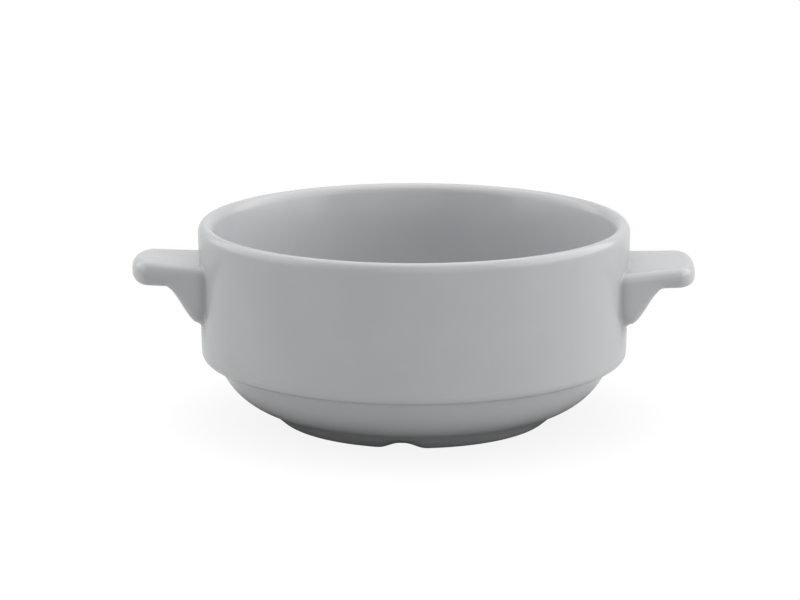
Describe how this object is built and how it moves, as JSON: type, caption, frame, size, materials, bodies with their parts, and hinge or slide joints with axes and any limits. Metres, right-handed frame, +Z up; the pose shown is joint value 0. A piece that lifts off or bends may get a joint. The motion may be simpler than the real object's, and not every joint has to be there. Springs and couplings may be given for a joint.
{
  "type": "stacking soup bowl",
  "caption": "Small round glazed bowl with upright walls, rounded lip, stacking ledge, opposed lug handles and a foot ring with drain notches; serves and stacks single portions of soup or salad.",
  "frame": {"origin": "middle of the foot ring on the table, at z = 0", "axes": "+Z up through the middle of the bowl, +X towards the right handle, -Y towards the front"},
  "size_m": [0.1438, 0.11, 0.051],
  "materials": {
    "body_glaze": "glossy pale grey glaze over porcelain",
    "handle_glaze": "glossy pale grey glaze over porcelain",
    "foot_glaze": "glossy pale grey glaze, wiped off the face that meets the table",
    "slip_glaze": "joining slip, fired and glazed over with the rest"
  },
  "bodies": {
    "root": {"bowl_body": "body_glaze", "foot_ring": "foot_glaze", "foot_ring_slip": "slip_glaze", "left_handle": "handle_glaze", "left_handle_slip": "slip_glaze", "right_handle": "handle_glaze", "right_handle_slip": "slip_glaze"}
  },
  "joints": []
}
